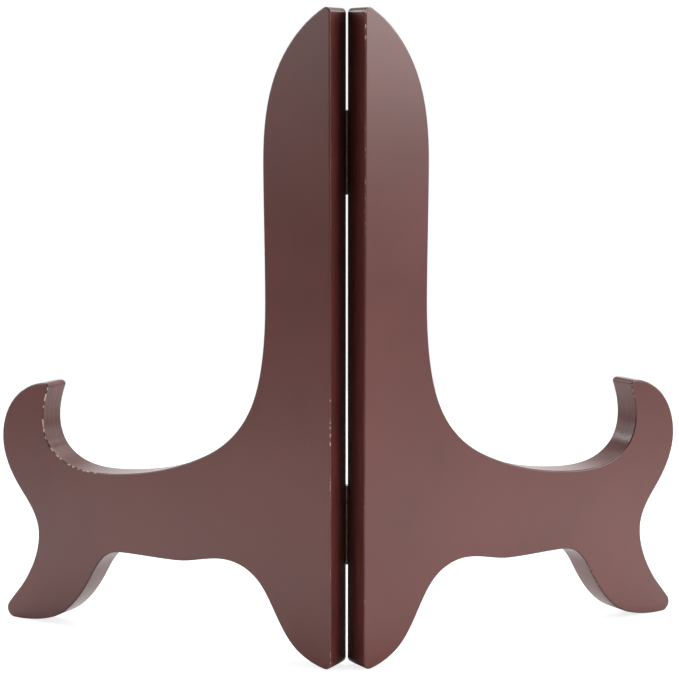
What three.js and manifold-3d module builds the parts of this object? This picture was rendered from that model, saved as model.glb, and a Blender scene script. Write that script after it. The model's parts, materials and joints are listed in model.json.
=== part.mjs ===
// A folding display stand: two mirror-image hardwood panels joined along their straight back edges by two
// small butt hinges. Open, the panels make a V that stands on two heels at the back and two toes in front,
// and a plate or a small picture rests in the two cradles and leans on the two uprights.
//
// Units are millimetres, +Z is up, and the hinge edge is at the back of the stand, towards -Y.

import * as THREE from 'three';
import { mergeVertices } from 'three/addons/utils/BufferGeometryUtils.js';
import Module from 'manifold-3d';

const wasm = await Module();
wasm.setup();

// ---------------------------------------------------------------- driving dimensions

// Panel
const panelThickness = 9.5;
const arrisRadius = 0.5;      // rounding of every sawn edge
const spineHeight = 208;      // heel to crown, along the hinge edge
const uprightWidth = 25;      // hinge edge to the edge that a plate leans on
const reach = 138.5;          // hinge edge to the belly of the hook
const cradleHeight = 52;      // lowest point of the cradle above the heel
const hookRise = 29.2;        // tip of the hook above the cradle
const waistHeight = 27;       // narrowest place of the front edge above the heel
const waistDepth = 15.7;      // how far the waist lies inside the belly of the hook
const archHeight = 29.4;      // crown of the arch above the heel
const toeDrop = 6.1;          // toe below the heel, which leans the open stand back

// Opening of the stand
const halfOpening = THREE.MathUtils.degToRad(56);
const spineGap = 0.55;        // slit between the two panels when the stand is open

// Hinges
const hingeLength = 25;
const leafReach = 9.5;        // pin axis to the free edge of a leaf
const leafThickness = 0.8;
const leafCorner = 1;
const knuckleCount = 5;
const knuckleGap = 0.25;
const pinRadius = 0.65;
const pinHeadRadius = 1.1;
const pinHeadThickness = 0.45;
const upperHingeDrop = 45;    // crown to the middle of the upper hinge
const lowerHingeHeight = 44.5; // heel to the middle of the lower hinge

// Screws
const screwRadius = 1;
const screwHeadRadius = 1.9;
const screwSlotWidth = 0.55;
const screwSlotDepth = 0.45;
const screwSpacing = 13;      // between the two screws of a leaf
const woodBehindScrew = 2.6;  // wood left between a screw's tip and the panel's outer face

// Fits
const seatGap = 0.3;          // between pieces that are seated on each other
const pinFit = 0.08;          // radial running clearance of the pin in its knuckles
const headRecess = 0.1;       // screw heads below the face of the leaf

// Fineness of round shapes
const outlineSteps = 9;
const arrisSteps = 3;
const roundSides = 32;

// ---------------------------------------------------------------- derived places

const barrelRadius = pinRadius + pinFit + leafThickness;
const axisToFace = barrelRadius + seatGap; // pin axis to the inner face of either panel
const knuckleLength = (hingeLength - (knuckleCount - 1) * knuckleGap) / knuckleCount;
const screwReach = (barrelRadius + seatGap + leafReach) / 2; // pin axis to the line of the screws
const faceToHead = seatGap + leafThickness - headRecess;     // inner face to the top of a screw head
const screwLength = faceToHead + panelThickness - woodBehindScrew;
const coneHeight = screwHeadRadius - screwRadius;            // the head is a 90 degree countersink

// The rounded inner corners of the two hinge edges come nearest each other across the slit. This places
// the edges so that the slit is spineGap wide at halfOpening.
const edgeToAxis = ((axisToFace + arrisRadius) * Math.cos(halfOpening)
  + arrisRadius * (Math.sin(halfOpening) - 1) - spineGap / 2) / Math.sin(halfOpening);

const hingeHeights = {
  upper: spineHeight - upperHingeDrop,
  lower: lowerHingeHeight,
};

// ---------------------------------------------------------------- materials

const lacquer = { color: 0x5e3f3b, roughness: 0.38, metalness: 0 };
const bronze = { color: 0x3a3029, roughness: 0.42, metalness: 0.85 };
const darkSteel = { color: 0x4a443e, roughness: 0.35, metalness: 0.9 };

function named(name, geometry, finish) {
  const mesh = new THREE.Mesh(geometry, new THREE.MeshStandardMaterial(finish));
  mesh.name = name;
  return mesh;
}

// ---------------------------------------------------------------- solids

function toSolid(geometry) {
  const plain = geometry.clone();
  plain.deleteAttribute('normal');
  plain.deleteAttribute('uv');
  const merged = mergeVertices(plain, 1e-4);
  return new wasm.Manifold(new wasm.Mesh({
    numProp: 3,
    vertProperties: new Float32Array(merged.attributes.position.array),
    triVerts: new Uint32Array(merged.index.array),
  }));
}

function toGeometry(solid) {
  const mesh = solid.getMesh();
  const geometry = new THREE.BufferGeometry();
  geometry.setAttribute('position', new THREE.BufferAttribute(mesh.vertProperties, 3));
  geometry.setIndex(new THREE.BufferAttribute(mesh.triVerts, 1));
  geometry.computeVertexNormals();
  return geometry;
}

// A cylinder about the Z axis, from one height to another.
function upright(radius, bottom, top) {
  const geometry = new THREE.CylinderGeometry(radius, radius, top - bottom, roundSides);
  geometry.rotateX(Math.PI / 2);
  geometry.translate(0, 0, (bottom + top) / 2);
  return geometry;
}

// A turned piece about the Z axis. The profile runs from the axis, out and back to it, going up.
function turned(profile) {
  const points = profile.map(([radius, height]) => new THREE.Vector2(radius, height));
  const geometry = new THREE.LatheGeometry(points, roundSides);
  geometry.rotateX(Math.PI / 2);
  return geometry;
}

// ---------------------------------------------------------------- panel

// Adds smooth curves through knots [x, y, heading in degrees]. Each curve is the cubic that is nearest to
// an arc when its two headings suit one.
function curveThrough(shape, start, knots) {
  let [x, y, heading] = start;
  for (const [nextX, nextY, nextHeading] of knots) {
    const turn = THREE.MathUtils.degToRad(nextHeading - heading);
    const handle = Math.hypot(nextX - x, nextY - y) / (3 * Math.cos(turn / 4) ** 2);
    const from = THREE.MathUtils.degToRad(heading);
    const to = THREE.MathUtils.degToRad(nextHeading);
    shape.bezierCurveTo(
      x + handle * Math.cos(from), y + handle * Math.sin(from),
      nextX - handle * Math.cos(to), nextY - handle * Math.sin(to),
      nextX, nextY,
    );
    [x, y, heading] = [nextX, nextY, nextHeading];
  }
}

// The panel's outline: x from the hinge edge towards the hook, y up from the heel. It runs up the hinge
// edge, over the crown, down to the cradle, round the hook, down to the toe and back under the arch.
function panelOutline() {
  const heelTop = [0, 1.4];
  const crownCorner = [0, spineHeight - 2.8, 90];
  const archFront = [reach - 54.5, archHeight - 4.1, 177 - 360];
  const archCrown = [41.5, archHeight, -180];
  const archMiddle = [
    THREE.MathUtils.lerp(archFront[0], archCrown[0], 0.54),
    THREE.MathUtils.lerp(archFront[1], archCrown[1], 0.2),
    176 - 360,
  ];
  const shape = new THREE.Shape();
  shape.moveTo(...heelTop);
  shape.lineTo(crownCorner[0], crownCorner[1]);
  curveThrough(shape, crownCorner, [
    // crown and the edge that a plate leans on
    [2.5, spineHeight - 1.3, -28],
    [uprightWidth - 6.5, spineHeight - 17.4, -61],
    [uprightWidth, spineHeight - 49, -90],
    [uprightWidth - 0.4, cradleHeight + 66, -90],
    [uprightWidth + 1.3, cradleHeight + 43, -80],
    // down into the cradle
    [uprightWidth + 6.5, cradleHeight + 27.3, -61],
    [uprightWidth + 24.2, cradleHeight + 11.2, -26],
    [reach - 58.5, cradleHeight + 1.6, -9],
    [reach - 41.5, cradleHeight, 0],
    // up the inside of the hook, round its blunt nose and down its belly
    [reach - 23.2, cradleHeight + 5.8, 44],
    [reach - 19.3, cradleHeight + 15.8, 90],
    [reach - 22, cradleHeight + hookRise - 1.8, 114],
    [reach - 20.3, cradleHeight + hookRise - 0.1, -3],
    [reach - 9.5, cradleHeight + hookRise - 3.9, -33],
    [reach, cradleHeight + 7.6, -90],
    // front edge: in to the waist and out to the toe
    [reach - 8.6, waistHeight + 13.8, -131],
    [reach - waistDepth, waistHeight, -90],
    [reach - 9, 15.2 - toeDrop, -56],
    [reach - 0.4, 4.9 - toeDrop, -52],
    [reach - 2.9, -toeDrop, -180],
    // instep and arch
    [reach - 20.7, 2.8 - toeDrop, 161 - 360],
    [reach - 30, 8.6 - toeDrop, 138 - 360],
    [reach - 40, archHeight - 14, 121 - 360],
    [reach - 47, archHeight - 5.9, 148 - 360],
    archFront,
    archMiddle,
    archCrown,
    [30, archHeight - 3.6, 216 - 360],
    [21.6, archHeight / 2, 240 - 360],
    [13, 3.6, 216 - 360],
    // heel
    [2.6, -0.7, 190 - 360],
    [...heelTop, 90 - 360],
  ]);
  return shape;
}

// The lean of the hinge edge that puts heels and toes on one level. Both lie on the line that touches the
// outline from below on either side of the arch.
function leanOf(outline) {
  const points = outline.getPoints(outlineSteps);
  const heel = points.filter((point) => point.x < reach / 2);
  const toe = points.filter((point) => point.x >= reach / 2);
  const lowest = (side, slope) => side.reduce((best, point) => (
    point.y - slope * point.x < best.y - slope * best.x ? point : best));
  let slope = 0;
  for (let round = 0; round < 5; round += 1) {
    const [back, front] = [lowest(heel, slope), lowest(toe, slope)];
    slope = (front.y - back.y) / (front.x - back.x);
  }
  return Math.atan(-slope / Math.cos(halfOpening));
}

// The four places where a panel's leaves are screwed on: [distance from the hinge edge, height].
function screwPlaces() {
  const across = edgeToAxis + screwReach;
  return Object.values(hingeHeights).flatMap((height) => (
    [1, -1].map((end) => [across, height + end * screwSpacing / 2])));
}

// One panel in its half's frame: x from the pin axis along the panel, z up, with the inner face on the
// plane y = -side * axisToFace. side is 1 for the right half and -1 for the left half.
function panelGeometry(outline, side) {
  const board = new THREE.ExtrudeGeometry(outline, {
    depth: panelThickness - 2 * arrisRadius,
    curveSegments: outlineSteps,
    bevelEnabled: true,
    bevelThickness: arrisRadius,
    bevelSize: arrisRadius,
    bevelOffset: -arrisRadius,
    bevelSegments: arrisSteps,
  });
  board.translate(-edgeToAxis, 0, arrisRadius - panelThickness / 2);
  board.rotateX(Math.PI / 2);
  board.translate(0, -side * (axisToFace + panelThickness / 2), 0);
  let solid = toSolid(board);
  for (const [across, height] of screwPlaces()) {
    const hole = upright(screwRadius + seatGap, -(panelThickness - woodBehindScrew + seatGap), 1);
    hole.rotateX(-side * Math.PI / 2);
    hole.translate(across - edgeToAxis, -side * axisToFace, height);
    solid = solid.subtract(toSolid(hole));
  }
  return toGeometry(solid);
}

// ---------------------------------------------------------------- hinges

// The height range of one knuckle, counted from the bottom of the hinge and measured from its middle.
function knuckleSpan(index) {
  const bottom = -hingeLength / 2 + index * (knuckleLength + knuckleGap);
  return [bottom, bottom + knuckleLength];
}

// The left leaf holds the knuckles with even numbers and the right leaf those with odd numbers.
function holdsKnuckle(index, side) {
  return (index % 2 === 0) === (side === -1);
}

// The flat of a leaf with its two rounded free corners, in the plane y = 0: x from the pin axis, z up.
function leafPlate() {
  const half = hingeLength / 2;
  const shape = new THREE.Shape();
  shape.moveTo(0, -half);
  shape.lineTo(leafReach - leafCorner, -half);
  shape.absarc(leafReach - leafCorner, leafCorner - half, leafCorner, -Math.PI / 2, 0);
  shape.absarc(leafReach - leafCorner, half - leafCorner, leafCorner, 0, Math.PI / 2);
  shape.lineTo(0, half);
  shape.closePath();
  const geometry = new THREE.ExtrudeGeometry(shape, {
    depth: leafThickness,
    curveSegments: 6,
    bevelEnabled: false,
  });
  geometry.rotateX(Math.PI / 2);
  geometry.translate(0, leafThickness / 2, 0);
  return geometry;
}

// The countersunk hole of a leaf about the Z axis, with the leaf's outer face at z = 0.
function countersink() {
  const mouth = screwHeadRadius + seatGap;
  const throat = screwRadius + seatGap;
  return turned([
    [0, -2 * leafThickness],
    [throat, -2 * leafThickness],
    [throat, throat - mouth],
    [mouth, 0],
    [mouth, leafThickness],
    [0, leafThickness],
  ]);
}

// One leaf about the pin axis, in its half's frame, with its own knuckles rolled round the pin.
function leafGeometry(side) {
  const plate = leafPlate();
  plate.translate(0, -side * (barrelRadius - leafThickness / 2), 0);
  let solid = toSolid(plate);
  for (let index = 0; index < knuckleCount; index += 1) {
    const [bottom, top] = knuckleSpan(index);
    if (holdsKnuckle(index, side)) {
      solid = solid.add(toSolid(upright(barrelRadius, bottom, top)));
    } else {
      solid = solid.subtract(toSolid(upright(barrelRadius + seatGap, bottom - knuckleGap, top + knuckleGap)));
    }
  }
  solid = solid.subtract(toSolid(upright(pinRadius + pinFit, -hingeLength, hingeLength)));
  for (const end of [1, -1]) {
    const hole = countersink();
    hole.rotateX(-side * Math.PI / 2);
    hole.translate(screwReach, -side * (barrelRadius - leafThickness), end * screwSpacing / 2);
    solid = solid.subtract(toSolid(hole));
  }
  return toGeometry(solid);
}

// A pin about the Z axis with a peened head on each end, clear of the end knuckles.
function pinGeometry() {
  const shoulder = hingeLength / 2 + knuckleGap;
  const end = shoulder + pinHeadThickness;
  return turned([
    [0, -end],
    [pinHeadRadius * 0.7, -end],
    [pinHeadRadius, -shoulder - pinHeadThickness * 0.5],
    [pinHeadRadius, -shoulder],
    [pinRadius, -shoulder],
    [pinRadius, shoulder],
    [pinHeadRadius, shoulder],
    [pinHeadRadius, shoulder + pinHeadThickness * 0.5],
    [pinHeadRadius * 0.7, end],
    [0, end],
  ]);
}

// A slotted wood screw about the Z axis, with the top of its head at z = 0 and its tip below.
function screwGeometry() {
  const tipHeight = 2 * screwRadius;
  const body = turned([
    [0, -screwLength],
    [screwRadius * 0.15, -screwLength],
    [screwRadius, tipHeight - screwLength],
    [screwRadius, -coneHeight],
    [screwHeadRadius, 0],
    [0, 0],
  ]);
  const slot = new THREE.BoxGeometry(screwSlotWidth, 3 * screwHeadRadius, 2 * screwSlotDepth);
  return toGeometry(toSolid(body).subtract(toSolid(slot)));
}

// The pieces of one hinge that ride on one panel: a leaf and its two screws.
function leafWithScrews(level, side) {
  const half = side === 1 ? 'right' : 'left';
  const pieces = [named(`${level}_hinge_${half}_leaf`, leafGeometry(side), bronze)];
  for (const end of [1, -1]) {
    const place = end === 1 ? 'top' : 'bottom';
    const screw = named(`${level}_hinge_${half}_${place}_screw`, screwGeometry(), darkSteel);
    screw.position.set(screwReach, side * (faceToHead - axisToFace), end * screwSpacing / 2);
    screw.rotation.x = -side * Math.PI / 2;
    pieces.push(screw);
  }
  return pieces;
}

// ---------------------------------------------------------------- the stand

const outline = panelOutline();
const stand = new THREE.Group();

for (const side of [-1, 1]) {
  const half = new THREE.Group();
  half.rotation.z = Math.PI / 2 - side * halfOpening;
  half.add(named(side === 1 ? 'right_panel' : 'left_panel', panelGeometry(outline, side), lacquer));
  for (const [level, height] of Object.entries(hingeHeights)) {
    const hardware = new THREE.Group();
    hardware.position.z = height;
    hardware.add(...leafWithScrews(level, side));
    half.add(hardware);
  }
  stand.add(half);
}

for (const [level, height] of Object.entries(hingeHeights)) {
  const pin = named(`${level}_hinge_pin`, pinGeometry(), darkSteel);
  pin.position.z = height;
  stand.add(pin);
}

// Lean the stand back so that heels and toes touch the ground, then centre it over its base.
stand.rotation.x = leanOf(outline);
const box = new THREE.Box3().setFromObject(stand, true);
const middle = box.getCenter(new THREE.Vector3());
stand.position.set(-middle.x, -middle.y, -box.min.z);

export default stand;
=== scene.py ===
# %% [markdown]
# # A folding display stand
#
# The real object is two boards sawn to the same outline and joined along their straight back edges by two
# small butt hinges. Open, they stand as a V and hold a plate in their two cradles. Everything that fits or
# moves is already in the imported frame. This lesson gives the frame its looks: lacquered boards with eased
# edges, rolled hinge leaves, slotted screws, and a small studio to see them in.

# %% Load the frame
import json
import math

import bmesh
import bpy
from mathutils import Euler, Matrix, Vector


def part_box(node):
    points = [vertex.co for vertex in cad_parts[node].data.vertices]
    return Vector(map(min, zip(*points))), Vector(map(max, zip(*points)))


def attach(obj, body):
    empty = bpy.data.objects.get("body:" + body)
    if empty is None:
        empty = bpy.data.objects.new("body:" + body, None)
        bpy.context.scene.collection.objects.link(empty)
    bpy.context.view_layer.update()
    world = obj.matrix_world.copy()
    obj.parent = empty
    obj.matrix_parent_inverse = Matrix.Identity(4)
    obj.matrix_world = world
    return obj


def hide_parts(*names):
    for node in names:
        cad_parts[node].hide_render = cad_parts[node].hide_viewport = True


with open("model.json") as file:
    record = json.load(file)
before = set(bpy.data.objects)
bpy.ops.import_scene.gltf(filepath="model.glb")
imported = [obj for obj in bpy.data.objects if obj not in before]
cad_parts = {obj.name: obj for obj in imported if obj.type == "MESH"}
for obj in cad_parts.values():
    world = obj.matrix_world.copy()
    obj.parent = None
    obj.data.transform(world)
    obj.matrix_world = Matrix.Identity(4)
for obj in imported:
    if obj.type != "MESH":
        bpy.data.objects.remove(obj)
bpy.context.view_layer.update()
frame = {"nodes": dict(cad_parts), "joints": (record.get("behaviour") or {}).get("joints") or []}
fold = frame["joints"][0]
MM = 0.001

print("nodes", len(frame["nodes"]), "and one joint,", fold["name"])

# %% [markdown]
# Both boards and both hinges are built round one line, the pin axis. The joint in the frame states that line,
# so the places and turns of all pieces are worked out from it. At the closed end of its range the boards lie
# face to face, which means that each board stands half of that range away from straight forwards.

# %% The pin axis and the two halves
axis_point = Vector(fold["pos_m"])
axis_up = Vector(fold["axis"]).normalized()
lean = math.atan2(-axis_up.y, axis_up.z)
half_opening = math.radians(fold["range_deg"][1]) / 2
SIDES = {"left": -1, "right": 1}
LEVELS = ("upper", "lower")


def board_turn(side):
    """The turn about the pin axis that takes the X axis along the board on that side."""
    return math.pi / 2 - side * half_opening


def board_frame(side, centre):
    """Local X runs from the pin axis along the board, Z runs up the pin axis, and centre is the origin."""
    turn = Euler((lean, 0, 0)).to_matrix() @ Euler((0, 0, board_turn(side))).to_matrix()
    return Matrix.Translation(centre) @ turn.to_4x4()


print(f"the pin axis leans back {math.degrees(lean):.2f} degrees")
print(f"each board stands {math.degrees(half_opening):.0f} degrees from straight forwards")

# %% [markdown]
# A long lens from a little above the middle keeps the boards' proportions true. The camera aims at a point
# on the stand's own middle plane, and its place follows from a distance and three turns, which are easier to
# read and to change than a position and a matrix.

# %% Camera
CAMERA_AIM = Vector((-1.25, 0, 103.25)) * MM
CAMERA_DISTANCE = 0.568
CAMERA_TURN = math.radians(-1.70)
CAMERA_RISE = math.radians(4.35)
CAMERA_ROLL = math.radians(0.14)
CAMERA_NEAREST = 0.01
LENS_MM = 90.1
SENSOR_MM = 36


def camera_at(aim, distance, turn, rise, roll):
    """A camera that looks along +Y at aim, turned about Z, raised, and rolled about its own line of sight."""
    data = bpy.data.cameras.new("studio_camera")
    data.lens = LENS_MM
    data.sensor_width = SENSOR_MM
    data.clip_start = CAMERA_NEAREST
    camera = bpy.data.objects.new("studio_camera", data)
    bpy.context.scene.collection.objects.link(camera)
    sight = Euler((math.pi / 2 - rise, 0, turn)).to_matrix() @ Euler((0, 0, -roll)).to_matrix()
    camera.matrix_world = Matrix.Translation(aim) @ sight.to_4x4() @ Matrix.Translation((0, 0, distance))
    return camera


camera = camera_at(CAMERA_AIM, CAMERA_DISTANCE, CAMERA_TURN, CAMERA_RISE, CAMERA_ROLL)
bpy.context.scene.camera = camera
print("camera at", [round(v, 3) for v in camera.matrix_world.translation])

# %% [markdown]
# Satin lacquer shows what is around it more than it shows its own colour, so the studio matters as much as
# the material. Materials and surroundings are both made of nodes, so a few helpers come first: one that adds
# a node and links it, two for arithmetic, and one that moves a value from one range to another.

# %% Node helpers
def add_node(tree, kind, inputs=None, **settings):
    """Adds one node, sets its properties, and links or sets its inputs by name or by number."""
    node = tree.nodes.new(kind)
    for key, value in settings.items():
        setattr(node, key, value)
    for key, value in (inputs or {}).items():
        if isinstance(value, bpy.types.NodeSocket):
            tree.links.new(value, node.inputs[key])
        else:
            node.inputs[key].default_value = value
    return node


def math_node(tree, operation, a, b=0.0):
    """One Math node. Returns its output."""
    return add_node(tree, "ShaderNodeMath", {0: a, 1: b}, operation=operation).outputs[0]


def multiply(tree, product, *factors):
    """The product of two or more values."""
    for factor in factors:
        product = math_node(tree, "MULTIPLY", product, factor)
    return product


def remap(tree, value, low, high, new_low, new_high, interpolation="LINEAR"):
    """Moves a value from one range to another and stops at its ends."""
    node = add_node(tree, "ShaderNodeMapRange", {
        "Value": value, "From Min": low, "From Max": high, "To Min": new_low, "To Max": new_high},
        interpolation_type=interpolation)
    return node.outputs["Result"]


def empty_material(name):
    """A new material and its cleared node tree."""
    material = bpy.data.materials.new(name)
    material.use_nodes = True
    material.node_tree.nodes.clear()
    return material, material.node_tree


print("node helpers ready")

# %% [markdown]
# A pale wall stands ahead, beyond the stand, and gives the cradle floors their long gleam. Two brighter panels
# stand at the sides, where the outer faces mirror them. The room behind the camera is dark, which keeps the
# groove between the two back edges dark too. The camera itself sees a plain pale backdrop. Each band is given
# as the two values of a direction's X, Y or Z between which it fades in.

# %% Surroundings
BACKDROP_STRENGTH = 1.0
WALL_STRENGTH = 0.6
WALL_SIDES = (-0.25, 0.35)
WALL_CENTRE_STRENGTH = 1.4
WALL_CENTRE = (0.8, 0.95)
WALL_FOOT = (-0.3, 0.0)
SIDE_PANEL_STRENGTH = 4.4
SIDE_PANEL_WIDTH = (0.6, 0.85)
SIDE_PANEL_BACK = (-0.6, -0.4)
SIDE_PANEL_FRONT = (0.3, 0.0)
SIDE_PANEL_FOOT = (-0.1, 0.1)
SIDE_PANEL_TOP = (0.6, 0.3)
WHITE = (1, 1, 1, 1)


def build_surroundings():
    world = bpy.data.worlds.new("studio")
    world.use_nodes = True
    tree = world.node_tree
    tree.nodes.clear()
    direction = add_node(tree, "ShaderNodeTexCoord").outputs["Generated"]
    x, y, z = add_node(tree, "ShaderNodeSeparateXYZ", {0: direction}).outputs

    def band(value, fade, strength=1.0):
        return remap(tree, value, *fade, 0.0, strength, "SMOOTHSTEP")

    wall = math_node(tree, "ADD", band(y, WALL_SIDES, WALL_STRENGTH),
                     band(y, WALL_CENTRE, WALL_CENTRE_STRENGTH))
    wall = multiply(tree, wall, band(z, WALL_FOOT))
    sideways = math_node(tree, "ABSOLUTE", x)
    panels = multiply(tree, band(sideways, SIDE_PANEL_WIDTH, SIDE_PANEL_STRENGTH),
                      band(y, SIDE_PANEL_BACK), band(y, SIDE_PANEL_FRONT),
                      band(z, SIDE_PANEL_FOOT), band(z, SIDE_PANEL_TOP))
    room = math_node(tree, "ADD", wall, panels)
    lit = add_node(tree, "ShaderNodeBackground", {"Color": WHITE, "Strength": room})
    seen = add_node(tree, "ShaderNodeBackground", {"Color": WHITE, "Strength": BACKDROP_STRENGTH})
    ray = add_node(tree, "ShaderNodeLightPath").outputs["Is Camera Ray"]
    both = add_node(tree, "ShaderNodeMixShader", {0: ray, 1: lit.outputs[0], 2: seen.outputs[0]})
    add_node(tree, "ShaderNodeOutputWorld", {"Surface": both.outputs[0]})
    bpy.context.scene.world = world


build_surroundings()
bpy.context.scene.view_settings.view_transform = "Standard"
print("surroundings built, seen as a plain backdrop of strength", BACKDROP_STRENGTH)

# %% [markdown]
# One large soft box stands at the right, so the two boards part in tone. Another hangs overhead and lights the
# hook tops and the floor. Two small ones light the floor on either side, and the floor lights the lower half
# of the boards from below. The last, behind the camera, does almost nothing for the flat faces, but the
# rounded arrises turn towards it and catch a thin bright line. Area lights are used because their size sets
# how soft each gleam is.

# %% Soft boxes
STAND_MIDDLE = (0, 0, 0.10)
SOFT_BOXES = [
    # name, place, aim, side length in metres, power in watts
    ("right_soft_box", (1.3, -0.45, 0.60), STAND_MIDDLE, 0.8, 13.2),
    ("overhead_soft_box", (0.22, 0.18, 0.9), (0.22, 0.18, 0), 0.7, 10.0),
    ("left_floor_box", (-0.30, 0.12, 0.35), (-0.25, -0.02, 0), 0.15, 0.9),
    ("right_floor_box", (0.30, 0.12, 0.35), (0.25, -0.02, 0), 0.15, 0.4),
    ("arris_light", (-0.05, -1.3, 0.35), STAND_MIDDLE, 0.25, 2.2),
]


def soft_box(name, place, aim, length, power):
    """A square area light at place that faces aim and that the camera doesn't see."""
    data = bpy.data.lights.new(name, "AREA")
    data.shape = "RECTANGLE"
    data.size = length
    data.size_y = length
    data.energy = power
    light = bpy.data.objects.new(name, data)
    bpy.context.scene.collection.objects.link(light)
    towards = Vector(aim) - Vector(place)
    light.matrix_world = Matrix.Translation(place) @ towards.to_track_quat("-Z", "Y").to_matrix().to_4x4()
    light.visible_camera = False


for row in SOFT_BOXES:
    soft_box(*row)
print("soft boxes", len(bpy.data.lights))

# %% [markdown]
# The floor is one pale matt disc. It is only as wide as the light on it needs: past its edge the backdrop
# has the same tone, so no horizon cuts the picture in two. The camera sees mostly its glow, which leaves only
# faint shadows. The lacquer mirrors a floor whose colour has painted shade, darker away from the stand.

# %% Floor
FLOOR_RADIUS = 0.8
FLOOR_SIDES = 96
FLOOR_TONE = 0.93
# painted shade: the floor colour seen in reflections darkens to the far tone over these distances, in place of
# light falling off
FLOOR_FAR_SHADED_TONE = 0.55
FLOOR_DARKENS = (0.25, 0.45)         # metres from the middle
FLOOR_SEEN_TONE = 0.30
FLOOR_GLOW = 0.80
FLOOR_ROUGHNESS = 0.9
FLOOR_SPECULAR = 0.1


def floor_material():
    """Matt and pale. Camera rays see a glowing floor of one tone, and all other rays see one whose colour has
    painted shade, darker away from the middle.
    """
    material, tree = empty_material("pale_floor")
    place = add_node(tree, "ShaderNodeTexCoord").outputs["Object"]
    from_middle = add_node(tree, "ShaderNodeVectorMath", {0: place}, operation="LENGTH").outputs["Value"]
    # painted shade: the colour darkens away from the middle of the floor
    painted_falloff_tone = remap(tree, from_middle, *FLOOR_DARKENS, FLOOR_TONE, FLOOR_FAR_SHADED_TONE, "SMOOTHSTEP")
    camera_ray = add_node(tree, "ShaderNodeLightPath").outputs["Is Camera Ray"]
    tone = add_node(tree, "ShaderNodeMix", {0: camera_ray, 2: painted_falloff_tone, 3: FLOOR_SEEN_TONE}).outputs[0]
    shader = add_node(tree, "ShaderNodeBsdfPrincipled", {
        "Base Color": tone, "Roughness": FLOOR_ROUGHNESS, "Specular IOR Level": FLOOR_SPECULAR,
        "Emission Color": WHITE, "Emission Strength": multiply(tree, camera_ray, FLOOR_GLOW)})
    add_node(tree, "ShaderNodeOutputMaterial", {"Surface": shader.outputs[0]})
    return material


def build_floor():
    mesh = bpy.data.meshes.new("studio_floor")
    bm = bmesh.new()
    bmesh.ops.create_circle(bm, cap_ends=True, segments=FLOOR_SIDES, radius=FLOOR_RADIUS)
    bm.to_mesh(mesh)
    bm.free()
    mesh.materials.append(floor_material())
    floor = bpy.data.objects.new("studio_floor", mesh)
    bpy.context.scene.collection.objects.link(floor)


build_floor()
print("floor radius", FLOOR_RADIUS)

# %% [markdown]
# ## Lacquered wood
#
# The boards are stained and sprayed with a satin mahogany-brown lacquer. Up close it has things that a flat
# colour lacks:
#
# - slow clouds in the stain, and a faint grain with pores that runs up the board
# - fine lines along the sawn edges, where the saw and the sanding belt ran
# - a darker arris along the sawn outline, and painted shade deep between the two hinge edges
# - arrises where the lacquer is rubbed thin and the red stain shows
# - small chips down to the pale wood, mostly round a few spots that have been knocked
#
# Each of them is one noise pattern or more, and a range of its values. The patterns count in millimetres.

# %% Wood colours and patterns
STAIN_DARK = (0.069, 0.0122, 0.0088, 1)
STAIN_LIGHT = (0.087, 0.0152, 0.0112, 1)
STAIN_THIN = (0.110, 0.018, 0.012, 1)
STAIN_PORE = (0.040, 0.0080, 0.0060, 1)
STAIN_EDGE = (0.045, 0.0080, 0.0058, 1)
# painted shade deep in the groove between the two hinge edges, and a darker arris along the sawn outline
STAIN_DARK_OUTLINE_AND_GROOVE_SHADE = (0.012, 0.0030, 0.0025, 1)
RAW_WOOD = (0.62, 0.42, 0.33, 1)

# scale, detail, roughness and, for the grain, distortion
CLOUDS = (0.022, 3.0, 0.55)
GRAIN = (0.85, 4.0, 0.6, 0.3)
PORES = (2.6, 2.0, 0.5)
SAWING = (1.3, 3.0, 0.65)
RUBBING = (0.11, 3.0, 0.6)
CHIP_PLACES = (0.035, 1.0, 0.5)
CHIP_CLUSTERS = (0.16, 2.0, 0.5)
CHIP_SPECKS = (0.6, 3.0, 0.6)
ORANGE_PEEL = (1.1, 1.0, 0.5)

# how far a pattern is drawn out along, through and up the board: the smaller the factor, the longer
GRAIN_DRAWN = (1.0, 1.0, 0.045)
PORES_DRAWN = (1.0, 1.0, 0.11)
SAWING_DRAWN = (0.05, 1.0, 0.05)


def mix_colour(tree, factor, a, b):
    node = add_node(tree, "ShaderNodeMix", {0: factor, 6: a, 7: b}, data_type="RGBA")
    return node.outputs[2]


def noise(tree, vector, scale, detail, roughness, distortion=0.0):
    node = add_node(tree, "ShaderNodeTexNoise", {
        "Vector": vector, "Scale": scale, "Detail": detail, "Roughness": roughness, "Distortion": distortion})
    return node.outputs["Fac"]


def stretched(tree, vector, factors):
    """The vector with each direction scaled by its own factor. A small factor draws a pattern out."""
    node = add_node(tree, "ShaderNodeVectorMath", {0: vector, 1: factors}, operation="MULTIPLY")
    return node.outputs[0]


print("stain colours from", STAIN_DARK[:3], "to", STAIN_LIGHT[:3])

# %% [markdown]
# The patterns are read in the board's own directions, so a Mapping node first turns Object coordinates until X
# runs along the board, Y through it and Z up the hinge edge. The same turn is given to the normal. Its Y then
# tells a face from a sawn edge, and the rounded arris lies between the two.

# %% Directions and edges of a board
PATTERN_SHIFT = 400.0                # mm, so that the two boards don't show the same clouds
SAWN_EDGE = (0.75, 0.25)             # the normal's Y, from where a sawn edge starts to where it is complete
ARRIS_FROM_EDGE = (0.10, 0.45)
ARRIS_FROM_FACE = (0.97, 0.80)
# where the painted shade of the groove lies on the hinge edge: its width along the board and its depth
OFF_HINGE_EDGE = (3, 5)              # mm along the board from the pin axis
GROOVE_DEPTH = (7.5, 2.5)            # mm through the board from the pin axis


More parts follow.
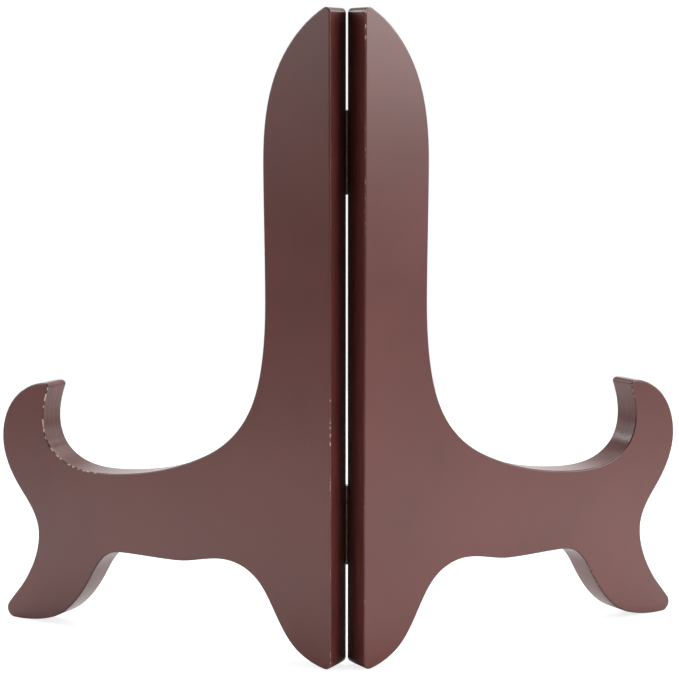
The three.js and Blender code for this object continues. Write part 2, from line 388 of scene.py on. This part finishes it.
def board_directions(tree, coords, turn_back, side):
    """Object coordinates turned to the board, in millimetres, and the size of the turned normal's Y."""
    board = add_node(tree, "ShaderNodeMapping", {
        "Vector": coords.outputs["Object"], "Location": (side * PATTERN_SHIFT, 0, 0),
        "Rotation": turn_back, "Scale": (1 / MM, 1 / MM, 1 / MM)}).outputs[0]
    facing = add_node(tree, "ShaderNodeMapping", {
        "Vector": coords.outputs["Normal"], "Rotation": turn_back}, vector_type="VECTOR").outputs[0]
    across = math_node(tree, "ABSOLUTE", add_node(tree, "ShaderNodeSeparateXYZ", {0: facing}).outputs["Y"])
    return board, across


def edge_masks(tree, across):
    """One mask is 1 on the sawn edges and 0 on the faces. The other is 1 on the arris between them."""
    sawn = remap(tree, across, *SAWN_EDGE, 0.0, 1.0)
    arris = multiply(tree, remap(tree, across, *ARRIS_FROM_EDGE, 0.0, 1.0),
                     remap(tree, across, *ARRIS_FROM_FACE, 0.0, 1.0))
    return sawn, arris


def dark_outline_and_groove_shade_mask(tree, board, turn_back, side, sawn, arris):
    """Darker lacquer on the arris of the sawn outline, and painted shade on the hinge edge in the half that
    lies deep in the groove. The mask is 1 in both places.
    """
    pin = turn_back.to_matrix() @ axis_point / MM
    along, through, _ = add_node(tree, "ShaderNodeSeparateXYZ", {0: board}).outputs
    starts, ends = (pin.x + side * PATTERN_SHIFT + width for width in OFF_HINGE_EDGE)
    off_hinge_edge = remap(tree, along, starts, ends, 0.0, 1.0)
    on_hinge_edge = math_node(tree, "SUBTRACT", 1.0, off_hinge_edge)
    shallow, deep = (pin.y - side * depth for depth in GROOVE_DEPTH)
    # painted shade: the hinge edge darkened deep in the groove between the two boards
    groove = multiply(tree, on_hinge_edge, sawn, remap(tree, through, shallow, deep, 0.0, 1.0))
    outline = multiply(tree, arris, off_hinge_edge)
    return math_node(tree, "MAXIMUM", outline, groove)


print("the patterns of the two boards lie", 2 * PATTERN_SHIFT, "mm apart")

# %% [markdown]
# Chips need a place where the board was knocked, clusters there, specks in the clusters, and an arris to break.
# The four are multiplied. Away from the knocked spots a weaker pattern leaves a few faint ones.

# %% Knocks and chips
# for each board, the spots in millimetres: along the board, up it, and how far the damage reaches
KNOCKED = {-1: ((112.0, 66.0, 30.0), (2.0, 80.0, 24.0)), 1: ((2.0, 206.0, 12.0),)}
KNOCKED_DEPTH = 11                   # mm through the board from the pin axis, near its outer face
STRAY_CHIPS = (0.56, 0.66, 0.0, 0.25)
CLUSTER_RANGE = (0.44, 0.52)
SPECK_RANGE = (0.52, 0.56)


def knocked_spot(side, along, up):
    heel = axis_point - axis_up * (axis_point.z / axis_up.z)
    return board_frame(side, heel) @ (Vector((along, -side * KNOCKED_DEPTH, up)) * MM)


def chip_mask(tree, coords, board, side, arris):
    places = remap(tree, noise(tree, board, *CHIP_PLACES), *STRAY_CHIPS)
    for along, up, radius in KNOCKED[side]:
        from_spot = add_node(tree, "ShaderNodeVectorMath", {
            0: coords.outputs["Object"], 1: knocked_spot(side, along, up)}, operation="DISTANCE")
        near_spot = remap(tree, from_spot.outputs["Value"], radius * MM, radius * MM / 2, 0.0, 1.0)
        places = math_node(tree, "MAXIMUM", places, near_spot)
    clusters = remap(tree, noise(tree, board, *CHIP_CLUSTERS), *CLUSTER_RANGE, 0.0, 1.0)
    specks = remap(tree, noise(tree, board, *CHIP_SPECKS), *SPECK_RANGE, 0.0, 1.0)
    return multiply(tree, arris, places, clusters, specks)


print("knocked spots", {half: len(KNOCKED[side]) for half, side in SIDES.items()})

# %% [markdown]
# The stain is laid down as a finisher works: the ground colour first, then pores, sawn edges and thin places,
# then a darker outline arris and painted shade deep in the groove, and the chips last. The relief adds up in
# the same way and feeds one Bump node. It holds only the finest part, because the outline and the arrises are
# real geometry.

# %% The lacquered wood material
CLOUD_SHARE = 0.75
GRAIN_SHARE = 0.10
TONE_RANGE = (0.30, 0.55)
PORE_MASK = (0.66, 0.74, 0.0, 0.3)
SAWING_RANGE = (0.38, 0.62)
RUBBED_MASK = (0.45, 0.62, 0.0, 0.7)
GRAIN_HEIGHT = 0.1
PEEL_HEIGHT = 0.25
SAWING_HEIGHT = 9.0
CHIP_DEPTH = 3.0
RELIEF_STRENGTH = 0.35
RELIEF_UNIT = 0.03 * MM
LACQUER_ROUGHNESS = (0.3, 0.7, 0.285, 0.315)
EDGE_ROUGHER = 0.05
LACQUER_IOR = 1.5


def stain_colour(tree, clouds, grain, pores, layers):
    """The ground colour, with the other colours laid over it. Each layer is a mask and a colour."""
    tone = math_node(tree, "ADD", multiply(tree, clouds, CLOUD_SHARE), multiply(tree, grain, GRAIN_SHARE))
    stain = mix_colour(tree, remap(tree, tone, *TONE_RANGE, 0.0, 1.0), STAIN_DARK, STAIN_LIGHT)
    stain = mix_colour(tree, remap(tree, pores, *PORE_MASK), stain, STAIN_PORE)
    for mask, colour in layers:
        stain = mix_colour(tree, mask, stain, colour)
    return stain


def relief(tree, grain, peel, sawing, sawn, chips):
    """The normal of the lacquer: grain and orange peel, sawing lines on the sawn edges, and sunken chips."""
    height = math_node(tree, "ADD", multiply(tree, grain, GRAIN_HEIGHT), multiply(tree, peel, PEEL_HEIGHT))
    height = math_node(tree, "ADD", height, multiply(tree, sawing, sawn, SAWING_HEIGHT))
    height = math_node(tree, "SUBTRACT", height, multiply(tree, chips, CHIP_DEPTH))
    bump = add_node(tree, "ShaderNodeBump", {
        "Strength": RELIEF_STRENGTH, "Distance": RELIEF_UNIT, "Height": height})
    return bump.outputs[0]


def lacquered_wood(name, side):
    material, tree = empty_material(name)
    coords = add_node(tree, "ShaderNodeTexCoord")
    turn_back = Euler((-lean, 0, -board_turn(side)))
    board, across = board_directions(tree, coords, turn_back, side)
    sawn, arris = edge_masks(tree, across)
    dark_outline_and_groove_shade = dark_outline_and_groove_shade_mask(tree, board, turn_back, side, sawn, arris)
    chips = chip_mask(tree, coords, board, side, arris)

    clouds = noise(tree, board, *CLOUDS)
    grain = noise(tree, stretched(tree, board, GRAIN_DRAWN), *GRAIN)
    pores = noise(tree, stretched(tree, board, PORES_DRAWN), *PORES)
    sawing = noise(tree, stretched(tree, board, SAWING_DRAWN), *SAWING)
    peel = noise(tree, board, *ORANGE_PEEL)
    saw_lines = multiply(tree, sawn, remap(tree, sawing, *SAWING_RANGE, 0.0, 1.0))
    rubbed = multiply(tree, arris, remap(tree, noise(tree, board, *RUBBING), *RUBBED_MASK))

    # one layer paints shade deep in the groove between the hinge edges and darkens the outline arris
    stain = stain_colour(tree, clouds, grain, pores, (
        (saw_lines, STAIN_EDGE), (rubbed, STAIN_THIN), (dark_outline_and_groove_shade, STAIN_DARK_OUTLINE_AND_GROOVE_SHADE), (chips, RAW_WOOD)))
    roughness = math_node(tree, "ADD", remap(tree, clouds, *LACQUER_ROUGHNESS),
                          multiply(tree, sawn, EDGE_ROUGHER))
    shader = add_node(tree, "ShaderNodeBsdfPrincipled", {
        "Base Color": stain, "Roughness": roughness, "IOR": LACQUER_IOR,
        "Normal": relief(tree, grain, peel, sawing, sawn, chips)})
    add_node(tree, "ShaderNodeOutputMaterial", {"Surface": shader.outputs[0]})
    return material


wood = {half: lacquered_wood(f"lacquered_wood_{half}", side) for half, side in SIDES.items()}
print("wood materials", [m.name for m in wood.values()])

# %% [markdown]
# ## The boards
#
# The frame's boards already have the right outline and rounded arrises, as loose triangles. A display model
# wants smooth gleams on the curved edges and dead flat faces. So a copy of each board is merged into one
# skin, its flat triangles are dissolved into large faces, and its corner normals follow the largest face
# nearby. That last step is what the Weighted Normal modifier does, and it keeps the faces flat right up to
# the rounded arris.

# %% Smooth boards
MERGE_DISTANCE = 0.002 * MM
FLAT_ANGLE = math.radians(0.2)
FULL_WEIGHT = 100


def open_edge_count(bm):
    return sum(1 for edge in bm.edges if not edge.is_manifold)


def new_piece(name, bm, material, body):
    """Makes a finished bmesh into a piece that rides on a body and takes its finish from a slot."""
    mesh = bpy.data.meshes.new(name)
    bm.to_mesh(mesh)
    bm.free()
    mesh.materials.append(material)
    mesh.shade_smooth()
    piece = bpy.data.objects.new(name, mesh)
    bpy.context.scene.collection.objects.link(piece)
    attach(piece, body)
    return piece


def flat_faces_rule(piece):
    rule = piece.modifiers.new("flat_faces", "WEIGHTED_NORMAL")
    rule.mode = "FACE_AREA"
    rule.weight = FULL_WEIGHT
    rule.keep_sharp = False


def build_board(half):
    node = f"{half}_panel"
    bm = bmesh.new()
    bm.from_mesh(frame["nodes"][node].data)
    bmesh.ops.remove_doubles(bm, verts=bm.verts, dist=MERGE_DISTANCE)
    bmesh.ops.dissolve_limit(bm, angle_limit=FLAT_ANGLE, verts=bm.verts, edges=bm.edges)
    print(node, "faces", len(bm.faces), "open edges", open_edge_count(bm))
    board = new_piece(f"{half}_board", bm, wood[half], f"{half}_half")
    flat_faces_rule(board)
    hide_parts(node)


for half in SIDES:
    build_board(half)

# %% [markdown]
# ## Hinge metal
#
# The hinges are mild steel with a dark bronze finish. The finish is thin: it rubs bright along the edges of
# the leaves and on the knuckles, and it is slightly blotchy where the plating took unevenly. Each piece
# carries a vertex attribute called wear, which is highest on its eased edges, and the material reads it, so
# the rubbed metal follows the real edges and not a picture of them.

# %% Metal materials
BRONZE_DARK = (0.040, 0.030, 0.022, 1)
BRONZE_WARM = (0.085, 0.060, 0.040, 1)
RUBBED_STEEL = (0.42, 0.36, 0.30, 1)
BLOTCHES = (0.55, 4.0, 0.6)
SPECKS = (6.0, 2.0, 0.6)
PLATING_RANGE = (0.4, 0.65)
RUBBING_MASK = (0.35, 0.6, 0.1, 0.7)
SPECK_VALUES = (0.3, 0.7)
SPECKS_ROUGHER = 0.12
RUBBING_ROUGHER = -0.1
BLOTCH_HEIGHT = 2.0
METAL_SHARE = 0.9
PLATING_STRENGTH = 0.3
PLATING_UNIT = 0.01 * MM


def dark_metal(name, dark, warm, smoothest):
    """A plated metal in two close tones, rubbed to bare steel where the wear attribute says."""
    material, tree = empty_material(name)
    place = add_node(tree, "ShaderNodeTexCoord").outputs["Object"]
    in_mm = add_node(tree, "ShaderNodeMapping", {"Vector": place, "Scale": (1 / MM, 1 / MM, 1 / MM)}).outputs[0]
    blotches = noise(tree, in_mm, *BLOTCHES)
    specks = noise(tree, in_mm, *SPECKS)
    wear = add_node(tree, "ShaderNodeAttribute", attribute_name="wear").outputs["Fac"]
    rubbing = multiply(tree, wear, remap(tree, blotches, *RUBBING_MASK))
    plating = mix_colour(tree, remap(tree, blotches, *PLATING_RANGE, 0.0, 1.0), dark, warm)
    colour = mix_colour(tree, rubbing, plating, RUBBED_STEEL)
    speckled = remap(tree, specks, *SPECK_VALUES, smoothest, smoothest + SPECKS_ROUGHER)
    roughness = math_node(tree, "ADD", speckled, multiply(tree, rubbing, RUBBING_ROUGHER))
    height = math_node(tree, "ADD", specks, multiply(tree, blotches, BLOTCH_HEIGHT))
    bump = add_node(tree, "ShaderNodeBump", {
        "Strength": PLATING_STRENGTH, "Distance": PLATING_UNIT, "Height": height})
    shader = add_node(tree, "ShaderNodeBsdfPrincipled", {
        "Base Color": colour, "Metallic": METAL_SHARE, "Roughness": roughness, "Normal": bump.outputs[0]})
    add_node(tree, "ShaderNodeOutputMaterial", {"Surface": shader.outputs[0]})
    return material


bronze = dark_metal("dark_bronze", BRONZE_DARK, BRONZE_WARM, 0.34)
screw_steel = dark_metal("bronzed_screw_steel", BRONZE_WARM, BRONZE_DARK, 0.28)
pin_steel = dark_metal("pin_wire", BRONZE_DARK, BRONZE_DARK, 0.30)
print("metals", bronze.name, screw_steel.name, pin_steel.name)

# %% [markdown]
# ## Hinge leaves
#
# A butt hinge leaf is one strip of steel. It is blanked flat with its notches and screw holes, and its
# tongues are then rolled round the pin to make the knuckles. The bmesh goes the same way. A flat sheet is cut
# by planes and the notches are deleted. Each screw hole is framed by a square window, inset, and pulled round.
# The sheet gets its thickness, and each tongue is spun round the pin axis. So every knuckle has the small
# seam where its end meets the strip.

# %% Hinge sizes, in millimetres
HINGE_LENGTH = 25.0
LEAF_REACH = 9.5
LEAF_THICKNESS = 0.8
LEAF_CORNER = 1.0
KNUCKLES = 5
KNUCKLE_GAP = 0.25
PIN_RADIUS = 0.65
PIN_FIT = 0.08
SEAT_GAP = 0.3
SCREW_SPACING = 13.0
SCREW_RADIUS = 1.0
HEAD_RADIUS = 1.9
HEAD_RECESS = 0.1
throat_radius = SCREW_RADIUS + SEAT_GAP
mouth_radius = HEAD_RADIUS + SEAT_GAP
barrel_radius = PIN_RADIUS + PIN_FIT + LEAF_THICKNESS
knuckle_length = (HINGE_LENGTH - (KNUCKLES - 1) * KNUCKLE_GAP) / KNUCKLES
screw_reach = (barrel_radius + SEAT_GAP + LEAF_REACH) / 2


def hinge_centre(level):
    """The middle of a hinge on the pin axis, from the middle of its pin."""
    low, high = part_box(f"{level}_hinge_pin")
    middle = (low + high) / 2
    return axis_point + axis_up * (middle - axis_point).dot(axis_up)


def knuckle_spans(side):
    """The height ranges of the knuckles on one leaf: the even ones on the left, the odd ones on the right."""
    spans = []
    for index in range(KNUCKLES):
        if (index % 2 == 0) == (side == -1):
            bottom = -HINGE_LENGTH / 2 + index * (knuckle_length + KNUCKLE_GAP)
            spans.append((bottom, bottom + knuckle_length))
    return spans


pin_low, pin_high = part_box("upper_hinge_pin")
print(f"knuckles {knuckle_length:.2f} mm long on a barrel {2 * barrel_radius:.2f} mm thick")
print(f"the frame's upper pin is {(pin_high - pin_low).z / MM:.1f} mm high, heads and all")
print("knuckles left and right", len(knuckle_spans(-1)), len(knuckle_spans(1)))

# %% [markdown]
# Sharp edges look drawn, not made, so every edge gets a narrow bevel. Its middle line is what a hand or a
# polishing wheel meets first, so the wear layer is 1 there and 0 where the bevel meets the faces beside it.

# %% Small bmesh helpers
ON_PLANE = 1e-5
SAME_PLACE = 1e-4
ALIGNED = 0.9                        # a normal with this much of one direction faces that way
EASED = 0.07
SHARP = math.radians(35)


def cut(bm, place, direction):
    """Cuts the whole mesh along a plane and keeps both parts."""
    bmesh.ops.bisect_plane(bm, geom=bm.verts[:] + bm.edges[:] + bm.faces[:], dist=ON_PLANE,
                           plane_co=place, plane_no=direction)


def ease_edges(bm):
    """Bevels every sharp edge a little and marks the middle line of each bevel in the wear layer."""
    wear = bm.verts.layers.float.new("wear")
    edges = [e for e in bm.edges if e.is_manifold and e.calc_face_angle() > SHARP]
    made = bmesh.ops.bevel(bm, geom=edges, offset=EASED, offset_type="OFFSET", segments=2, profile=0.5,
                           affect="EDGES", clamp_overlap=True, material=-1)
    bevels = set(made["faces"])
    for vert in made["verts"]:
        vert[wear] = 1.0 if all(face in bevels for face in vert.link_faces) else 0.0


def place_in_frame(bm, side, centre):
    """Takes a mesh in millimetres and hinge coordinates to its place in the frame, in metres."""
    bmesh.ops.scale(bm, vec=(MM, MM, MM), verts=bm.verts)
    bmesh.ops.transform(bm, matrix=board_frame(side, centre), verts=bm.verts)
    bmesh.ops.recalc_face_normals(bm, faces=bm.faces)


print("edges are eased by", EASED, "mm")

# %% Blank a leaf
CORNER_STEPS = 6


def leaf_blank(bm, side):
    """The flat sheet in the plane y = 0 with its tongues: x from the pin axis, z up."""
    half = HINGE_LENGTH / 2
    outline = ((0, 0, -half), (LEAF_REACH, 0, -half), (LEAF_REACH, 0, half), (0, 0, half))
    corners = [bm.verts.new(point) for point in outline]
    bm.faces.new(corners)
    bmesh.ops.bevel(bm, geom=corners[1:3], offset=LEAF_CORNER, offset_type="OFFSET", segments=CORNER_STEPS,
                    profile=0.5, affect="VERTICES", material=-1)
    notch = barrel_radius + SEAT_GAP
    cut(bm, (notch, 0, 0), (1, 0, 0))
    spans = knuckle_spans(side)
    for height in [edge for span in spans for edge in span]:
        cut(bm, (0, 0, height), (0, 0, 1))
    notches = []
    for face in bm.faces:
        middle = face.calc_center_median()
        on_tongue = any(low < middle.z < high for low, high in spans)
        if middle.x < notch and not on_tongue:
            notches.append(face)
    bmesh.ops.delete(bm, geom=notches, context="FACES")


# %% Drill a leaf
HOLE_SIDES = 32
WINDOW_MARGIN = 0.25
RING_WIDTH = 0.5


def drill_leaf(bm):
    """Frames a square window round each screw, insets it, and pulls the inner loop into a round hole."""
    window = mouth_radius + WINDOW_MARGIN
    for end in (1, -1):
        centre = Vector((screw_reach, 0, end * SCREW_SPACING / 2))
        for step in (-window, window):
            cut(bm, centre + Vector((step, 0, 0)), (1, 0, 0))
            cut(bm, centre + Vector((0, 0, step)), (0, 0, 1))
        inside = [f for f in bm.faces if max(abs(f.calc_center_median().x - centre.x),
                                             abs(f.calc_center_median().z - centre.z)) < window]
        plug = bmesh.ops.dissolve_faces(bm, faces=inside)["region"][0]
        while len(plug.edges) < HOLE_SIDES:
            longest = max(plug.edges, key=lambda e: e.calc_length())
            bmesh.ops.subdivide_edges(bm, edges=[longest], cuts=1)
        bm.normal_update()
        bmesh.ops.inset_region(bm, faces=[plug], thickness=RING_WIDTH, use_even_offset=True)
        for vert in plug.verts:
            vert.co = centre + (vert.co - centre).normalized() * throat_radius
        bmesh.ops.delete(bm, geom=[plug], context="FACES_ONLY")


# %% Thicken a leaf and roll its knuckles
LIP_MARGIN = 0.05
ROLL = math.radians(288)
ROLL_STEPS = 22
TONGUE_END = 1e-3


def thicken_leaf(bm):
    """Gives the sheet its thickness towards +Y and opens the countersinks on that face."""
    result = bmesh.ops.extrude_face_region(bm, geom=bm.faces[:], use_keep_orig=True)
    raised = [v for v in result["geom"] if isinstance(v, bmesh.types.BMVert)]
    bmesh.ops.translate(bm, verts=raised, vec=(0, LEAF_THICKNESS, 0))
    wider = mouth_radius / throat_radius
    for end in (1, -1):
        centre = Vector((screw_reach, LEAF_THICKNESS, end * SCREW_SPACING / 2))
        lip = [v for v in raised if (v.co - centre).length < throat_radius + LIP_MARGIN]
        bmesh.ops.scale(bm, vec=(wider, 1, wider), verts=lip, space=Matrix.Translation(-centre))
    bmesh.ops.translate(bm, verts=bm.verts, vec=(0, -barrel_radius, 0))
    bmesh.ops.recalc_face_normals(bm, faces=bm.faces)


def roll_knuckles(bm):
    """Spins the end face of each tongue round the pin axis, and deletes the faces it started from."""
    ends = [f for f in bm.faces if f.normal.x < -ALIGNED and f.calc_center_median().x < TONGUE_END]
    bmesh.ops.spin(bm, geom=ends, cent=(0, 0, 0), axis=(0, 0, 1), dvec=(0, 0, 0), angle=-ROLL,
                   steps=ROLL_STEPS, use_merge=False)
    bmesh.ops.delete(bm, geom=ends, context="FACES")


def build_leaf(level, half):
    side = SIDES[half]
    bm = bmesh.new()
    leaf_blank(bm, side)
    drill_leaf(bm)
    thicken_leaf(bm)
    roll_knuckles(bm)
    bmesh.ops.remove_doubles(bm, verts=bm.verts, dist=SAME_PLACE)
    ease_edges(bm)
    bmesh.ops.scale(bm, vec=(1, side, 1), verts=bm.verts)
    place_in_frame(bm, side, hinge_centre(level))
    print(f"{level} {half} leaf: {len(bm.faces)} faces, {open_edge_count(bm)} open edges")
    leaf = new_piece(f"{level}_{half}_leaf_rolled", bm, bronze, f"{half}_half")
    flat_faces_rule(leaf)
    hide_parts(f"{level}_hinge_{half}_leaf")


for level in LEVELS:
    for half in SIDES:
        build_leaf(level, half)

# %% [markdown]
# ## Pins
#
# A hinge pin is a piece of wire whose ends are peened over into small domes, so that it can't fall out. Its
# profile is a handful of points, and a full spin turns them into a solid. The two end points lie on the
# axis, and merging the doubles closes them.

# %% Pins
PIN_HEAD_RADIUS = 1.1
PIN_HEAD_THICKNESS = 0.45
DOME_ANGLES = [math.radians(15 * step) for step in range(6)]
PIN_SHARP = math.radians(40)
DOME_WEAR = 0.6
PIN_WEAR = 0.1
TURNED_STEPS = 36


def turned_solid(bm, profile):
    """Spins a profile of (radius, height) points about the Z axis into a closed solid."""
    points = [bm.verts.new((radius, 0, height)) for radius, height in profile]
    edges = [bm.edges.new(pair) for pair in zip(points, points[1:])]
    bmesh.ops.spin(bm, geom=points + edges, cent=(0, 0, 0), axis=(0, 0, 1), dvec=(0, 0, 0),
                   angle=2 * math.pi, steps=TURNED_STEPS, use_merge=True)
    bmesh.ops.remove_doubles(bm, verts=bm.verts, dist=SAME_PLACE)
    bmesh.ops.recalc_face_normals(bm, faces=bm.faces)


def pin_profile(shoulder):
    dome = [(PIN_HEAD_RADIUS * math.cos(angle), shoulder + PIN_HEAD_THICKNESS * math.sin(angle))
            for angle in DOME_ANGLES]
    top = [(PIN_RADIUS, shoulder)] + dome + [(0, shoulder + PIN_HEAD_THICKNESS)]
    return [(radius, -height) for radius, height in reversed(top)] + top


def build_pin(level):
    shoulder = HINGE_LENGTH / 2 + KNUCKLE_GAP
    bm = bmesh.new()
    turned_solid(bm, pin_profile(shoulder))
    wear = bm.verts.layers.float.new("wear")
    for vert in bm.verts:
        vert[wear] = DOME_WEAR if abs(vert.co.z) > shoulder + PIN_HEAD_THICKNESS / 2 else PIN_WEAR
    place_in_frame(bm, 1, hinge_centre(level))
    pin = new_piece(f"{level}_pin_peened", bm, pin_steel, "left_half")
    pin.data.set_sharp_from_angle(angle=PIN_SHARP)
    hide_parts(f"{level}_hinge_pin")
    return len(pin.data.polygons)


print("pin faces", [build_pin(level) for level in LEVELS])

# %% [markdown]
# ## Screws
#
# Each leaf is held by two countersunk screws with a straight slot. The slot is cut by splitting the top of
# the head along two planes and pushing the strip between them down. No two screws stop at the same angle on
# a real hinge, so each one is turned by the golden angle from the one before, which never repeats.

# %% Screw sizes, in millimetres
SCREW_LENGTH = 7.9
TIP_LENGTH = 2 * SCREW_RADIUS
TIP_RADIUS = 0.15
TIP_BLUNT = 0.02
RIM = 0.08                           # the small chamfer round the top of a head
SLOT_WIDTH = 0.55
SLOT_DEPTH = 0.45
GOLDEN_ANGLE = math.radians(137.5)
SCREW_SHARP = math.radians(30)
HEAD_WEAR = 0.8
HEAD_WEAR_DEPTH = 0.1
head_height = HEAD_RADIUS - SCREW_RADIUS
face_to_head = SEAT_GAP + LEAF_THICKNESS - HEAD_RECESS
SCREW_PROFILE = [
    (0, -SCREW_LENGTH), (TIP_RADIUS, -SCREW_LENGTH + TIP_BLUNT), (SCREW_RADIUS, TIP_LENGTH - SCREW_LENGTH),
    (SCREW_RADIUS, -head_height), (HEAD_RADIUS - RIM, -RIM), (HEAD_RADIUS - 2 * RIM, 0), (0, 0),
]

screw_low, screw_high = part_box("upper_hinge_right_top_screw")
print(f"screws {SCREW_LENGTH} mm long; the frame's first one is {(screw_high - screw_low).x / MM:.1f} mm wide")


# %% Screws
def lid_faces(bm):
    """The faces that look up from the top of a screw's head."""
    bm.normal_update()
    return [f for f in bm.faces if f.calc_center_median().z > -SAME_PLACE and f.normal.z > ALIGNED]


def slotted_screw(bm, angle):
    """A screw about the Z axis with the top of its head at z = 0."""
    turned_solid(bm, SCREW_PROFILE)
    bmesh.ops.dissolve_faces(bm, faces=lid_faces(bm))
    for step in (-SLOT_WIDTH / 2, SLOT_WIDTH / 2):
        lid = lid_faces(bm)
        around = list({v for f in lid for v in f.verts}) + list({e for f in lid for e in f.edges})
        bmesh.ops.bisect_plane(bm, geom=lid + around, dist=ON_PLANE, plane_co=(step, 0, 0), plane_no=(1, 0, 0))
    strip = [f for f in lid_faces(bm) if abs(f.calc_center_median().x) < SLOT_WIDTH / 4]
    pushed = bmesh.ops.extrude_face_region(bm, geom=strip)
    floor_verts = [v for v in pushed["geom"] if isinstance(v, bmesh.types.BMVert)]
    bmesh.ops.translate(bm, verts=floor_verts, vec=(0, 0, -SLOT_DEPTH))
    bmesh.ops.delete(bm, geom=[f for f in strip if f.is_valid], context="FACES_ONLY")
    wear = bm.verts.layers.float.new("wear")
    for vert in bm.verts:
        vert[wear] = HEAD_WEAR if vert.co.z > -HEAD_WEAR_DEPTH else 0.0
    bmesh.ops.rotate(bm, verts=bm.verts, matrix=Matrix.Rotation(angle, 3, "Z"))


def build_screw(level, half, place, number):
    """Builds one screw and returns how many open edges it has."""
    side = SIDES[half]
    end = 1 if place == "top" else -1
    bm = bmesh.new()
    slotted_screw(bm, number * GOLDEN_ANGLE)
    bmesh.ops.rotate(bm, verts=bm.verts, matrix=Matrix.Rotation(-side * math.pi / 2, 3, "X"))
    seat = side * (face_to_head - barrel_radius - SEAT_GAP)
    bmesh.ops.translate(bm, verts=bm.verts, vec=(screw_reach, seat, end * SCREW_SPACING / 2))
    place_in_frame(bm, side, hinge_centre(level))
    open_edges = open_edge_count(bm)
    screw = new_piece(f"{level}_{half}_{place}_slotted_screw", bm, screw_steel, f"{half}_half")
    screw.data.set_sharp_from_angle(angle=SCREW_SHARP)
    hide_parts(f"{level}_hinge_{half}_{place}_screw")
    return open_edges


places = [(level, half, place) for level in LEVELS for half in SIDES for place in ("top", "bottom")]
print("open edges of each screw", [build_screw(*row, number) for number, row in enumerate(places)])
